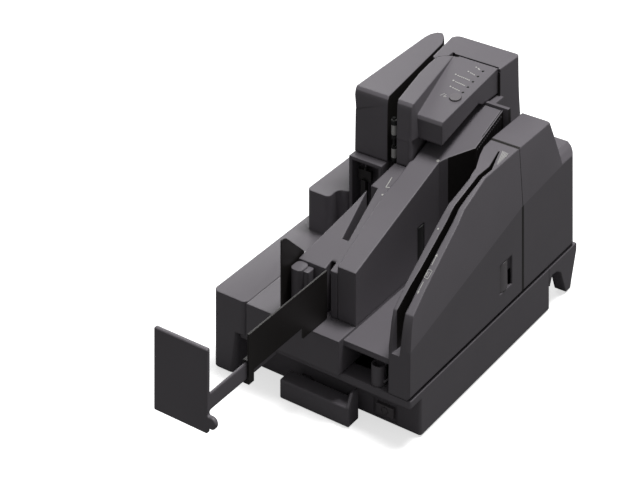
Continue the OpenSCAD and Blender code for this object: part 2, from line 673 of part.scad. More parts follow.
// Inner frame under the panel cover, its sensors and the exit rollers
frame_top = 149;
sensor_y = 150;
sensor_w = 9;
sensor_x0 = -112;
sensor_d = 6;
sensor_x1 = -91;
front_sensor_x = -95.2;
sensor_room = 8;
frame_shares = [[-0.88, 1.16], [-0.977, 1.58], [-1.003, 1.77], [-1.003, 1.86], [-0.83, 1.86], [-0.83, 1.16]];
module inner_frame() color(black) placed() difference() {
    plan_form(pocket_h, frame_top, sized(frame_shares, share_len, share_len));
    block(sensor_x1 - sensor_room, sensor_x1, sensor_y - clear, sensor_y + sensor_w + clear, pocket_h + wall,
        frame_top + over);
}
module front_image_sensor() color(pale) placed()
    block(front_sensor_x, sensor_x1 - clear, sensor_y, sensor_y + sensor_w, pocket_h + wall, frame_top - wall);
module rear_image_sensor() color(pale) placed()
    block(sensor_x0, slit_x - sensor_d, sensor_y, sensor_y + sensor_w, pocket_h + wall, ledge_h);
exit_x = -96.5;
exit_y = 114.6;
exit_r = 2.3;
shaft_r = 1.5;
shaft_z0 = 38;
shaft_z1 = 152;
exit_zs = [[119, 130], [136, 150]];
module exit_shaft() color(steel) placed() post(exit_x, exit_y, shaft_r, shaft_z0, shaft_z1);
module exit_rollers() color(pale) placed() for (z = exit_zs) difference() {
    post(exit_x, exit_y, exit_r, z[0], z[1]);
    post(exit_x, exit_y, shaft_r, z[0] - over, z[1] + over);
}
feed_x = -66.5;
feed_y = 92;
feed_r = 9.4;
roller_z = 64;
roller_h = 26;
module feed_shaft() color(steel) placed() post(feed_x, feed_y, shaft_r, shaft_z0, roller_z + roller_h + wall);
module feed_roller() color(black) placed() difference() {
    post(feed_x, feed_y, feed_r, roller_z, roller_z + roller_h);
    post(feed_x, feed_y, shaft_r, roller_z - over, roller_z + roller_h + over);
}
pulley_h = 6;
pulley_z = 41;
feed_pulley_r = 9;
exit_pulley_r = 6;
motor_pulley_r = 4;
motor_x = -75;
motor_y = 142;
motor_r = 11;
motor_z = 13;
module pulley(x, y, r) difference() {
    union() {
        post(x, y, r, pulley_z, pulley_z + pulley_h);
        for (z = [pulley_z, pulley_z + pulley_h - over]) post(x, y, r + over, z, z + over);
    }
    post(x, y, shaft_r, pulley_z - over, pulley_z + pulley_h + over);
}
module feed_pulley() color(steel) placed() pulley(feed_x, feed_y, feed_pulley_r);
module exit_pulley() color(steel) placed() pulley(exit_x, exit_y, exit_pulley_r);
module motor_pulley() color(steel) placed() {
    pulley(motor_x, motor_y, motor_pulley_r);
    post(motor_x, motor_y, shaft_r, plate_z + plate_t + clear, pulley_z + pulley_h);
}
plate_z = 36.5;
plate_t = 1.5;
post_in = 4;
module motor() color(steel) placed() post(motor_x, motor_y, motor_r, motor_z, plate_z);
module drive_plate() color(steel) placed() difference() {
    union() {
        block(drive_x0 + over, drive_x1 - over, drive_y0 + over, drive_y1 - over, plate_z, plate_z + plate_t);
        for (x = [drive_x0 + post_in, drive_x1 - post_in], y = [drive_y0 + post_in, drive_y1 - post_in])
            post(x, y, post_in / 2, plate_z, drive_top);
    }
    post(feed_x, feed_y, shaft_r + clear, plate_z - over, plate_z + plate_t + over);
    post(exit_x, exit_y, shaft_r + clear, plate_z - over, plate_z + plate_t + over);
}
belt_t = 1.4;
belt_gap = 0.3;
module belt_loop(extra) hull() {
    translate([feed_x, feed_y]) circle(feed_pulley_r + extra);
    translate([exit_x, exit_y]) circle(exit_pulley_r + extra);
    translate([motor_x, motor_y]) circle(motor_pulley_r + extra);
}
module drive_belt() color(black) placed() translate([0, 0, pulley_z + over + belt_gap])
    linear_extrude(pulley_h - 2 * over - 2 * belt_gap) difference() {
        belt_loop(belt_gap + belt_t);
        belt_loop(belt_gap);
    }

// Operation panel cover, hinged at its rear edge
axis_y = 200.6;
knuckle_r = 2.1;
axis_z = top_h - knuckle_r;
bulge_y = 120.7;
bulge_edge = 1.3;
panel_slope = (top_h - panel_front_h) / (axis_y - bulge_y);
panel_angle = atan(panel_slope);
function panel_z(y) = panel_front_h + (y - bulge_y) * panel_slope;
panel_right = 56.8;
panel_rear_right = 54.2;
knuckle_x0 = -90;
knuckle_x1 = -54.4;
panel_z0 = 120;
lip_z = 148;
lip_y = 178;
lip_slant_y = 173;
lip_slant_z = 150.8;
// Left edge and the curved rear seam of the panel cover
band_shares = [[-0.914, 1.1], [-1.011, 1.58], [-1.036, 1.77], [-1.042, 1.868], [-1.031, 1.908],
    [-1.006, 1.944], [-0.973, 1.97], [-0.932, 1.99], [-0.89, 2.003]];
trough = 8;
band_edge_x = -77.6;
band_edge_y = 111;
band_turn = 10.8;
band_fall = 9;
band_front = 80.5;
bulge_shares = [[-0.79, 1.12], [-0.805, 1.1]];
module band() intersection() {
    plan_form(panel_z0, top_h, concat(sized(band_shares, share_len, share_len), [[-band_front, axis_y],
        [-panel_right - wall, axis_y], [-panel_right - wall, bulge_y + over], [-panel_right - wall, bulge_y],
        [band_edge_x, bulge_y]], sized(bulge_shares, share_len, share_len)));
    side_form(-body_w, 0, concat(sized([for (i = [1:4]) front_shares[i]], share_len, top_h),
        [[axis_y, top_h], [axis_y, lip_z], [lip_y, lip_z], [lip_slant_y, lip_slant_z],
        [bulge_y, panel_front_h - panel_t], [band_edge_y - over, panel_front_h - panel_t]]));
    // flank that falls to the bulge
    translate([band_edge_x, band_edge_y, top_h]) rotate([0, 0, band_turn]) rotate([0, -band_fall, 0])
        block(-body_w, 0, -body_rear, body_rear, -top_h, top_h);
}
module bulge() intersection() {
    plan_form(panel_z0, top_h, concat([[-band_front, bulge_y]], sized([for (i = [1:8]) band_shares[i]],
        share_len, share_len), [[-band_front, axis_y], [-panel_rear_right, axis_y], [-panel_right, bulge_y]]));
    side_form(-body_w, 0, [[bulge_y, panel_front_h - panel_t], [bulge_y, panel_front_h - wall],
        [bulge_y + bulge_edge, panel_z(bulge_y + bulge_edge)], [axis_y, top_h], [axis_y, lip_z], [lip_y, lip_z],
        [lip_slant_y, lip_slant_z]]);
}
skirt_shares = [[-0.9, 1.12], [-0.8, 1.1], [-0.785, 1.38], [-0.807, 1.5], [-0.9, 1.5]];
skirt_side_shares = [[1.1, 1.2], [1.1, 1.41], [1.5, 1.51], [1.12, 1.2]];
cavity_shares = [[-0.892, 1.134], [-0.989, 1.58], [-1.014, 1.77], [-1.018, 1.89], [-0.822, 1.89], [-0.822, 1.134]];
cavity_rear = 187;
cavity_right = -80.5;
module panel_cover() color(dark) placed() difference() {
    union() {
        band();
        bulge();
        // left skirt down to the ledge
        intersection() {
            plan_form(panel_z0, lip_z, concat(sized(band_shares, share_len, share_len), [[cavity_right, axis_y],
                [cavity_right, bulge_y]], sized(bulge_shares, share_len, share_len)));
            side_form(-body_w, 0, concat(sized(front_shares, share_len, top_h), [[axis_y, top_h],
                [axis_y, panel_z0]]));
        }
        intersection() {
            plan_form(panel_z0, top_h, sized(skirt_shares, share_len, share_len));
            side_form(-body_w, 0, sized(skirt_side_shares, share_len, share_len));
        }
        rod_x(axis_y, axis_z, knuckle_r, knuckle_x0, knuckle_x1);
    }
    // hollow round the inner frame
    plan_form(panel_z0 - over, frame_top + over, sized(cavity_shares, share_len, share_len));
    // room for the rear of the inner frame while the cover turns
    block(-body_w, cavity_right, cavity_rear, axis_y + over, drive_top, frame_top + over);
    rod_x(axis_y, axis_z, pusher_shaft + fit, -body_w, 0);
    // well of the button and holes of the lamps
    translate([button_x, button_y, panel_z(button_y)]) rotate([panel_angle, 0, 0])
        translate([0, 0, -button_depth - over]) cylinder(d = button_d + 2 * clear, h = button_depth + 2 * over);
    for (i = [0:4]) lamp_place(i) translate([0, 0, -lamp_len]) cylinder(r = lamp_r, h = lamp_len + over);
}
button_x = -64.4;
button_y = 152.8;
button_depth = 3;
module panel_button() color(mid) placed() translate([button_x, button_y, panel_z(button_y)])
    rotate([panel_angle, 0, 0]) translate([0, 0, -button_depth + over]) cylinder(d = button_d, h = button_depth);
lamp_r = 1.1;
lamp_len = 3;
lamp_y = 161.5;
lamp_x = -62.9;
module lamp_place(i) translate([lamp_x, lamp_y + i * lamp_pitch, panel_z(lamp_y + i * lamp_pitch)])
    rotate([panel_angle, 0, 0]) children();
module panel_lamps() color([0.3, 0.4, 0.3]) placed()
    for (i = [0:4]) lamp_place(i) translate([0, 0, -lamp_len]) cylinder(r = lamp_r, h = lamp_len);
module panel_hinge_pin() color(steel) placed()
    rod_x(axis_y, axis_z, pusher_shaft, knuckle_x0 - 2 * wall, knuckle_x1 + wall);

// Rear shell
shell_top = 52;
crown_shares = [[-1.1, 2.316], [-1.124, 2.26], [-1.074, 1.89]];
web_x = -107;
web_y = 190;
web_back = 202;
web_h = 119.5;
tower_x = -79;
tower_h = 146;
back_y = 196;
module rear_shell() color(dark) placed() difference() {
    union() {
        plan_form(pocket_h, top_h, concat(sized(crown_shares, share_len, share_len),
            [for (i = [3:8]) [band_shares[i][0] * share_len - seam, band_shares[i][1] * share_len + seam]],
            [[-band_front, axis_y + seam], [-shell_top, axis_y + seam], [-shell_top + over, body_rear]]));
        block(-block_left, -shell_left - seam, back_y, body_rear, pocket_h, ledge_h);
        block(web_x, -shell_left - seam, web_y, web_back, pocket_h, web_h);
        block(tower_x, -shell_left - seam, guide_back + seam, web_back, pocket_h, tower_h);
    }
    rod_x(axis_y, axis_z, knuckle_r + 3 * clear, knuckle_x0 - trough, -panel_rear_right + clear);
    rod_x(axis_y, axis_z, knuckle_r * 1.9, knuckle_x0 - trough, knuckle_x0 - trough * 0.66);
    rod_x(axis_y, axis_z, pusher_shaft, -body_w, 0);
}

base_tray();
rubber_feet();
base_screws();
power_button();
circuit_board();
supply_inlet();
data_socket();
deck();
hollow_pin();
scanner_cover();
card_head();
cover_latch();
cover_hinge_pins();
hopper_pusher();
pusher_pin();
right_rear_shell();
centre_guide();
guide_nose();
exit_leaf();
leaf_pin();
divider();
end_stop();
front_rest();
left_shell();
exit_housing();
exit_lever();
left_cover();
left_hinge_pins();
print_cartridge();
inner_frame();
front_image_sensor();
rear_image_sensor();
magnetic_head();
exit_shaft();
exit_rollers();
exit_pulley();
feed_shaft();
feed_roller();
feed_pulley();
motor();
motor_pulley();
drive_belt();
drive_plate();
panel_cover();
panel_button();
panel_lamps();
panel_hinge_pin();
rear_shell();
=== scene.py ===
# %% [markdown]
# # A desktop cheque scanner
# The machine feeds from a hopper at its front right, along a path round its back, to two pockets at its
# front left. Nearly everything is one dark moulded plastic with a fine spark texture, so the picture lives
# from soft edges, narrow seams and the difference between lit and shaded faces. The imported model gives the
# solids; this lesson rounds their edges, paints them and adds small parts.

# %% Load the frame
import json
import math

import bmesh
import bpy
from mathutils import Matrix, Vector


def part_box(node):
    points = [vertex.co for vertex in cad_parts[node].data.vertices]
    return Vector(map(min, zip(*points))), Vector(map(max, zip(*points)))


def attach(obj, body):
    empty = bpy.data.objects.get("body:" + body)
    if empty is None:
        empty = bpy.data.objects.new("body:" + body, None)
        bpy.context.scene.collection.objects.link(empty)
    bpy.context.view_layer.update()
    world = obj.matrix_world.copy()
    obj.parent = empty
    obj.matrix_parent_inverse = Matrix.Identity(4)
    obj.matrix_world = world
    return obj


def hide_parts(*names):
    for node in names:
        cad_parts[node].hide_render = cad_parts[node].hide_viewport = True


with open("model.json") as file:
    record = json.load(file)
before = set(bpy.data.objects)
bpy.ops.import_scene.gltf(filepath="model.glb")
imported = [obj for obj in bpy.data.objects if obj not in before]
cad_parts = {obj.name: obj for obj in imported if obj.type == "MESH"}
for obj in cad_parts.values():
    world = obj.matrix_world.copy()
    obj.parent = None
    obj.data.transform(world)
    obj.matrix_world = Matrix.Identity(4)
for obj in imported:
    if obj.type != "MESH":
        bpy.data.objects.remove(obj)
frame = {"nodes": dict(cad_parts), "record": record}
nodes = frame["nodes"]
body_of_node = {n: b for b, ns in frame["record"]["behaviour"]["bodies"].items() for n in ns}
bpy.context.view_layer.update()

# %% [markdown]
# ## Measuring from one corner
# Every place below is given in millimetres from the base's front right corner on the desk, with X to the
# right, Y to the rear and Z up, because that corner is easy to find in the picture. The base tray's box
# tells where the corner lies in the frame.

# %% Places in millimetres
MM = 0.001
RIM_REACH = 14 * MM
base_low, base_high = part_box("base_tray")
CORNER = Vector((base_high.x, base_low.y + RIM_REACH, 0))


def at(x, y, z):
    """A point in metres from millimetres to the right of, behind and above the base's front right corner."""
    return CORNER + Vector((x, y, z)) * MM


# %% [markdown]
# ## The camera
# The picture was taken with upright edges kept parallel, which a tilted camera can't do and a lens shift
# would do only with a very large shift. A parent with a sheared matrix does it exactly: its third axis
# slopes down while its second stays upright. The focal length grows by the slope's length, so the picture
# keeps its scale.

# %% Camera with parallel uprights
FOCAL_PX = 2172.7
HORIZON_PX = -968.8
CENTRE_PX = 240.0
PICTURE_W = 640
YAW = math.radians(34.894)
SENSOR = 36.0
NEAREST = 0.05
EYE_RIGHT, EYE_BACK, EYE_UP = 0.07114, 1.535, 0.9939
ahead = Vector((-math.sin(YAW), math.cos(YAW), 0))
right = Vector((math.cos(YAW), math.sin(YAW), 0))
up = Vector((0, 0, 1))
slope = (CENTRE_PX - HORIZON_PX) / FOCAL_PX
line = ahead - up * slope
eye = CORNER - right * EYE_RIGHT - ahead * EYE_BACK + up * EYE_UP

camera_data = bpy.data.cameras.new("camera")
camera = bpy.data.objects.new("camera", camera_data)
rig = bpy.data.objects.new("camera_rig", None)
for thing in (camera, rig):
    bpy.context.scene.collection.objects.link(thing)
camera.parent = rig
camera.matrix_parent_inverse = Matrix((
    (right.x, up.x, -line.x, eye.x),
    (right.y, up.y, -line.y, eye.y),
    (right.z, up.z, -line.z, eye.z),
    (0, 0, 0, 1)))
camera_data.sensor_width = SENSOR
camera_data.lens = SENSOR * FOCAL_PX * line.length / PICTURE_W
camera_data.clip_start = NEAREST
bpy.context.scene.camera = camera
print("lens", round(camera_data.lens, 2))

# %% [markdown]
# ## Floor and light
# A white floor runs under the machine. The camera sees it as nearly pure white that still takes the object's
# shadow, while the object itself gets only a dim bounce from it, so its fronts stay dark. One lamp overhead
# makes the tops pale, a weak one at the left rear keeps the sides that the picture hides readable, and the
# dim world fills the rest, though the camera sees the world as white.

# %% Helpers for shader nodes
def grey_shader(tree, kind, grey, strength=None):
    """A shader node of one even grey, with a strength where its kind has one."""
    shader = tree.nodes.new(kind)
    shader.inputs["Color"].default_value = (grey, grey, grey, 1)
    if strength is not None:
        shader.inputs["Strength"].default_value = strength
    return shader


def mixed_to(tree, out_kind, factor, first, second):
    """Mixes two shader nodes by a factor socket and leads the mix to an output node."""
    mix = tree.nodes.new("ShaderNodeMixShader")
    out = tree.nodes.new(out_kind)
    tree.links.new(factor, mix.inputs[0])
    tree.links.new(first.outputs[0], mix.inputs[1])
    tree.links.new(second.outputs[0], mix.inputs[2])
    tree.links.new(mix.outputs[0], out.inputs["Surface"])


def picture_rays(tree):
    """A 0 to 1 socket that is 1 for camera and transmission rays."""
    rays = tree.nodes.new("ShaderNodeLightPath")
    join = tree.nodes.new("ShaderNodeMath")
    join.operation = "MAXIMUM"
    tree.links.new(rays.outputs["Is Camera Ray"], join.inputs[0])
    tree.links.new(rays.outputs["Is Transmission Ray"], join.inputs[1])
    return join.outputs[0]


# %% Floor
FLOOR = 6.0
FLOOR_DIM = 0.18
FLOOR_PALE = 0.95
FLOOR_GLOW = 0.65
bpy.ops.mesh.primitive_plane_add(size=FLOOR, location=(0, 0, 0))
floor = bpy.context.object
floor.name = "floor"
floor_paint = bpy.data.materials.new("floor_white")
floor_paint.use_nodes = True
tree = floor_paint.node_tree
tree.nodes.clear()
dim = grey_shader(tree, "ShaderNodeBsdfDiffuse", FLOOR_DIM)
pale = grey_shader(tree, "ShaderNodeBsdfDiffuse", FLOOR_PALE)
glow = grey_shader(tree, "ShaderNodeEmission", 1, FLOOR_GLOW)
lit = tree.nodes.new("ShaderNodeAddShader")
tree.links.new(pale.outputs[0], lit.inputs[0])
tree.links.new(glow.outputs[0], lit.inputs[1])
mixed_to(tree, "ShaderNodeOutputMaterial", picture_rays(tree), dim, lit)
floor.data.materials.append(floor_paint)

# %% World
WORLD_FILL = 0.2
world = bpy.data.worlds.new("studio")
bpy.context.scene.world = world
world.use_nodes = True
tree = world.node_tree
tree.nodes.clear()
fill = grey_shader(tree, "ShaderNodeBackground", 1, WORLD_FILL)
white = grey_shader(tree, "ShaderNodeBackground", 1)
camera_only = tree.nodes.new("ShaderNodeLightPath").outputs["Is Camera Ray"]
mixed_to(tree, "ShaderNodeOutputWorld", camera_only, fill, white)


# %% Lamps
def area_lamp(name, place, target, size, watts):
    """A square area lamp that looks at a target."""
    bpy.ops.object.light_add(type="AREA", location=place)
    lamp = bpy.context.object
    lamp.name = name
    lamp.data.size = size
    lamp.data.energy = watts
    lamp.rotation_euler = (Vector(target) - Vector(place)).to_track_quat("-Z", "Y").to_euler()
    return lamp


HEART = (0, 0, 0.08)
LAMPS = {"lamp_top": ((0.24, 0.27, 1.6), 0.5, 21), "lamp_left": ((-1.1, 1.0, 0.6), 0.8, 5)}
for name, (place, size, watts) in LAMPS.items():
    area_lamp(name, place, HEART, size, watts)
bpy.context.scene.view_settings.view_transform = "Standard"
print("lamps", len(LAMPS))

# %% [markdown]
# ## Moulded plastic
# The casing's finish is a fine spark texture: no sparkle, a broad soft gloss and a tiny grain. A fine noise
# gives the grain in the bump and moves the roughness a little, and a slow one varies the colour by a few
# per cent, as handling does. A bevel node feeds the bump, so that light runs softly over every edge, also
# over the ones that the mesh's own rounding leaves small.

# %% Materials
GRAIN_DEPTH = 0.2 * MM
SLOWER = 60
POLISH = 0.05


def moulded(name, colour, rough=0.5, grain=0.12, scale=1400.0, tint=0.06, edge=0.3):
    """Moulded plastic: colour, roughness, grain and its scale, colour variation, edge radius in mm."""
    paint = bpy.data.materials.new(name)
    paint.use_nodes = True
    tree = paint.node_tree
    shader = tree.nodes["Principled BSDF"]
    place = tree.nodes.new("ShaderNodeTexCoord")
    fine = tree.nodes.new("ShaderNodeTexNoise")
    fine.inputs["Scale"].default_value = scale
    fine.inputs["Detail"].default_value = 3
    broad = tree.nodes.new("ShaderNodeTexNoise")
    broad.inputs["Scale"].default_value = scale / SLOWER
    for noise in (fine, broad):
        tree.links.new(place.outputs["Object"], noise.inputs["Vector"])
    bump = tree.nodes.new("ShaderNodeBump")
    bump.inputs["Strength"].default_value = grain
    bump.inputs["Distance"].default_value = GRAIN_DEPTH
    tree.links.new(fine.outputs["Fac"], bump.inputs["Height"])
    soft = tree.nodes.new("ShaderNodeBevel")
    soft.samples = 8
    soft.inputs["Radius"].default_value = edge * MM
    tree.links.new(soft.outputs["Normal"], bump.inputs["Normal"])
    tree.links.new(bump.outputs["Normal"], shader.inputs["Normal"])
    shade = tree.nodes.new("ShaderNodeMix")
    shade.data_type = "RGBA"
    shade.inputs["A"].default_value = [c * (1 - tint) for c in colour] + [1]
    shade.inputs["B"].default_value = [c * (1 + tint) for c in colour] + [1]
    tree.links.new(broad.outputs["Fac"], shade.inputs["Factor"])
    tree.links.new(shade.outputs["Result"], shader.inputs["Base Color"])
    polish = tree.nodes.new("ShaderNodeMapRange")
    polish.inputs["To Min"].default_value = rough - POLISH
    polish.inputs["To Max"].default_value = rough + POLISH
    tree.links.new(fine.outputs["Fac"], polish.inputs["Value"])
    tree.links.new(polish.outputs["Result"], shader.inputs["Roughness"])
    return paint


def metal(name, colour, rough, stretch):
    """Metal with fine lines, drawn out along one axis."""
    paint = moulded(name, colour, rough, 0.08, 900.0, 0.05)
    tree = paint.node_tree
    tree.nodes["Principled BSDF"].inputs["Metallic"].default_value = 1
    lines = tree.nodes.new("ShaderNodeMapping")
    lines.inputs["Scale"].default_value = stretch
    place = next(n for n in tree.nodes if n.type == "TEX_COORD")
    tree.links.new(place.outputs["Object"], lines.inputs["Vector"])
    for noise in [n for n in tree.nodes if n.type == "TEX_NOISE"]:
        tree.links.new(lines.outputs["Vector"], noise.inputs["Vector"])
    return paint


CASING = (0.149, 0.138, 0.153)
CASING_EDGE = 1.6
paints = {
    "casing": moulded("casing_charcoal", CASING, edge=CASING_EDGE),
    "button": moulded("button_charcoal", (0.165, 0.153, 0.163), 0.42, 0.05),
    "path_black": moulded("path_black", (0.018, 0.016, 0.015), 0.45, 0.08),
    "rubber": moulded("rubber_black", (0.03, 0.03, 0.03), 0.75, 0.3, 700.0),
    "roller_grey": moulded("roller_grey", (0.62, 0.62, 0.60), 0.7, 0.2, 700.0),
    "belt": moulded("belt_black", (0.03, 0.03, 0.03), 0.8, 0.3, 700.0),
    "board": moulded("board_green", (0.03, 0.12, 0.05), 0.3, 0.05),
    "socket_black": moulded("socket_black", (0.03, 0.03, 0.03), 0.4, 0.05),
    "sensor": moulded("sensor_glass", (0.30, 0.32, 0.34), 0.12, 0.0),
    "lamp": moulded("lamp_lens", (0.02, 0.022, 0.02), 0.15, 0.0),
    "pulley": moulded("pulley_white", (0.55, 0.55, 0.52), 0.4, 0.04),
    "screw_steel": metal("screw_zinc", (0.62, 0.62, 0.60), 0.35, (1, 1, 1)),
    "pin_steel": metal("pin_ground", (0.60, 0.60, 0.61), 0.25, (1, 1, 1)),
    "plate_steel": metal("plate_zinc", (0.56, 0.57, 0.58), 0.38, (0.1, 1, 1)),
    "head_steel": metal("head_polished", (0.60, 0.59, 0.57), 0.2, (1, 0.1, 1)),
    "motor_steel": metal("motor_zinc", (0.56, 0.57, 0.58), 0.4, (1, 1, 0.1)),
}
print("materials", len(paints))

# %% [markdown]
# ## Dressing the solids
# Each solid keeps its shape and gets its finish from the record's slot. The casings would look cut from
# paper with their dead sharp edges, so a copy of each is merged, its flat faces joined, its sharp edges
# bevelled round, and the copy stands in for the node. A bevel modifier does it, with a radius for each
# moulding, and shallow creases are marked sharp so that smooth shading doesn't wash them out.

# %% Paint every node
slot_of = {s["node"]: s["material_slot"] for s in frame["record"]["subparts"]}
# The exit shaft gets a near black paint.
special = {"exit_shaft": moulded("shaft_near_black", (0.02, 0.02, 0.02), 0.35, 0.04)}
for name, node in nodes.items():
    node.data.materials.clear()
    node.data.materials.append(special.get(name, paints[slot_of[name]]))


# %% Helpers for pieces and selections
def pick(piece):
    """Deselects everything and makes piece the one active object."""
    if bpy.context.object and bpy.context.object.mode != "OBJECT":
        bpy.ops.object.mode_set(mode="OBJECT")
    bpy.ops.object.select_all(action="DESELECT")
    piece.select_set(True)
    bpy.context.view_layer.objects.active = piece
    return piece


def finish(piece, name, body, slot, angle=35):
    """Names, paints and smooths a piece, and lets it ride on its body."""
    pick(piece)
    piece.name = name
    piece.data.name = name
    bpy.ops.object.transform_apply(location=True, rotation=True, scale=True)
    bpy.ops.object.shade_smooth_by_angle(angle=math.radians(angle))
    piece.data.materials.clear()
    piece.data.materials.append(paints[slot])
    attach(piece, body)
    return piece


def loose_copy(node):
    """A copy of a CAD node with its own mesh, without the node's parent and keys."""
    piece = nodes[node].copy()
    piece.data = nodes[node].data.copy()
    bpy.context.scene.collection.objects.link(piece)
    piece.parent = None
    for key in list(piece.keys()):
        del piece[key]
    return piece


def apply_step(piece, kind, **settings):
    """Gives the active piece a modifier with these settings and applies it."""
    step = piece.modifiers.new(kind.lower(), kind)
    for key, value in settings.items():
        setattr(step, key, value)
    bpy.ops.object.modifier_apply(modifier=step.name)


def within(place, low, high):
    """Whether a place in millimetres lies inside a box."""
    return all(low[i] < place[i] < high[i] for i in range(3))


def choose(piece, kind, numbers):
    """Selects the faces or edges with these numbers, and nothing else, and stays in edit mode."""
    pick(piece)
    bpy.ops.object.mode_set(mode="EDIT")
    bpy.ops.mesh.select_mode(type=kind)
    bpy.ops.mesh.select_all(action="DESELECT")
    bpy.ops.object.mode_set(mode="OBJECT")
    parts = piece.data.polygons if kind == "FACE" else piece.data.edges
    for number in numbers:
        parts[number].select = True
    bpy.ops.object.mode_set(mode="EDIT")


def edges_between(piece, least, wide, low, high):
    """Numbers of the edges longer than least whose two faces are wider and meet at low to high degrees."""
    shape = bmesh.new()
    shape.from_mesh(piece.data)
    found = []
    for edge in shape.edges:
        if len(edge.link_faces) != 2 or edge.calc_length() < least * MM:
            continue
        if min(f.calc_area() for f in edge.link_faces) < wide * MM * MM:
            continue
        if math.radians(low) < edge.calc_face_angle() < math.radians(high):
            found.append(edge.index)
    shape.free()
    return found


# %% [markdown]
# ## What is special about some mouldings
# Two mouldings meet at an upright seam on the right side. A cut just beside it leaves a strip that can be
# painted black later. Two small moves set the foot of the panel cover's flank and the lip of the guide a
# little to the left. The tall corners at the rear and on the left have a wider radius than most edges, so
# they are bevelled first and by themselves. Two plain walls get a parting line, as a moulded case has where
# its halves meet. All tables are in millimetres: seams along Y, boxes with their step, radius and front
# limit, heights, and last the radius of all other edges.

# %% Settings of the mouldings
COVER_SEAM = 144.6
SHELL_SEAM = 148.0
CUTS = {"scanner_cover": COVER_SEAM, "right_rear_shell": SHELL_SEAM}
MOVES = {
    "panel_cover": ((-78.6, 120, 148), (-76.4, 122.6, 157), (-1.9, 0, 0)),
    "centre_guide": ((-33.5, 182, 100), (-31, 190, 160), (-2.5, 0, 0)),
}
UPRIGHTS = {
    "left_shell": (5, -200), "rear_shell": (4, 215), "left_cover": (2, -200), "right_rear_shell": (4, 160),
    "base_tray": (2, -20),
}
GROOVES = {"left_shell": 40, "rear_shell": 76}
ROUNDED = {
    "base_tray": 1.2, "deck": 0.9, "scanner_cover": 1.6, "right_rear_shell": 2.6, "centre_guide": 1.1,
    "guide_nose": 1.2, "left_cover": 2.4, "panel_cover": 1.8, "rear_shell": 2.4, "exit_housing": 1.0,
    "left_shell": 2.4, "end_stop": 1.0, "front_rest": 1.0, "divider": 0.3, "power_button": 0.5,
    "cover_latch": 0.6, "exit_leaf": 0.3, "exit_lever": 0.4, "inner_frame": 0.5, "hollow_pin": 0.4,
}


# %% [markdown]
# ## One moulding, step by step
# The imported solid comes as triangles, while bevel and extrude want whole faces. So points are merged and flat
# faces joined first. Edges are then selected by their length, the size of their faces and their angle, which
# finds the corners without any list of numbers.

# %% Steps of one moulding
def merge(piece, seam):
    """Merges a copy's points and joins its flat faces, and cuts a strip along a seam across Y."""
    pick(piece)
    bpy.ops.object.mode_set(mode="EDIT")
    bpy.ops.mesh.select_all(action="SELECT")
    bpy.ops.mesh.remove_doubles(threshold=0.02 * MM)
    bpy.ops.mesh.dissolve_limited(angle_limit=math.radians(1))
    if seam:
        bpy.ops.mesh.select_all(action="SELECT")
        bpy.ops.mesh.bisect(plane_co=at(0, seam, 0), plane_no=(0, 1, 0))
    bpy.ops.object.mode_set(mode="OBJECT")


def move_points(piece, low, high, step):
    """Moves the points inside a box by a step, all in millimetres."""
    for point in piece.data.vertices:
        if within((point.co - CORNER) / MM, low, high):
            point.co += Vector(step) * MM


def round_uprights(piece, radius, front):
    """Bevels the upright edges behind a front limit with a wide radius, as a mould's corners are."""
    posts = []
    for number in edges_between(piece, least=22, wide=100, low=60, high=120):
        ends = [(piece.data.vertices[v].co - CORNER) / MM for v in piece.data.edges[number].vertices]
        if abs(ends[0].x - ends[1].x) + abs(ends[0].y - ends[1].y) < 1 and ends[0].y > front:
            posts.append(number)
    choose(piece, "EDGE", posts)
    bpy.ops.mesh.bevel(offset=radius * MM, segments=6, profile=0.5, affect="EDGES", clamp_overlap=False)
    bpy.ops.object.mode_set(mode="OBJECT")


def groove(piece, height, wide=0.8, deep=0.6):
    """A parting line round a moulding: two level cuts, and the strip between them pushed in."""
    pick(piece)
    bpy.ops.object.mode_set(mode="EDIT")
    for level in (height, height + wide):
        bpy.ops.mesh.select_all(action="SELECT")
        bpy.ops.mesh.bisect(plane_co=at(0, 0, level), plane_no=(0, 0, 1))
    bpy.ops.object.mode_set(mode="OBJECT")
    low, high = CORNER.z + height * MM, CORNER.z + (height + wide) * MM
    strip = [f.index for f in piece.data.polygons if low < f.center.z < high and abs(f.normal.z) < 0.1
             and (f.normal.x < -0.1 or f.normal.y > 0.1)]
    choose(piece, "FACE", strip)
    bpy.ops.mesh.extrude_region_shrink_fatten(TRANSFORM_OT_shrink_fatten={"value": -deep * MM})
    bpy.ops.object.mode_set(mode="OBJECT")
    print(piece.name, len(strip), "groove faces")


# %% Round every moulding
def rounded(node, radius):
    """A copy of a CAD node with its creases kept and its edges bevelled round, which replaces the node."""
    piece = loose_copy(node)
    merge(piece, CUTS.get(node))
    if node in MOVES:
        move_points(piece, *MOVES[node])
    if node in UPRIGHTS:
        round_uprights(piece, *UPRIGHTS[node])
    if node in GROOVES:
        groove(piece, GROOVES[node])
    choose(piece, "EDGE", edges_between(piece, least=12, wide=150, low=2, high=20))
    bpy.ops.mesh.mark_sharp()
    bpy.ops.object.mode_set(mode="OBJECT")
    apply_step(piece, "BEVEL", width=radius * MM, segments=3, limit_method="ANGLE",
               angle_limit=math.radians(24), use_clamp_overlap=True, miter_outer="MITER_ARC")
    finish(piece, node + "_moulding", body_of_node[node], slot_of[node], angle=30)
    apply_step(piece, "WEIGHTED_NORMAL", keep_sharp=True, weight=90)
    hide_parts(node)
    print(node, len(piece.data.polygons), "faces")
    return piece


mouldings = {name: rounded(name, radius) for name, radius in ROUNDED.items()}

# %% [markdown]
# ## End of the panel's hinge
# The panel turns on a pin that stops short of the side, and a small plug with a dished end closes its
# hole. The plug is a cylinder whose end faces are inset and pushed in, so it isn't a bare disc.

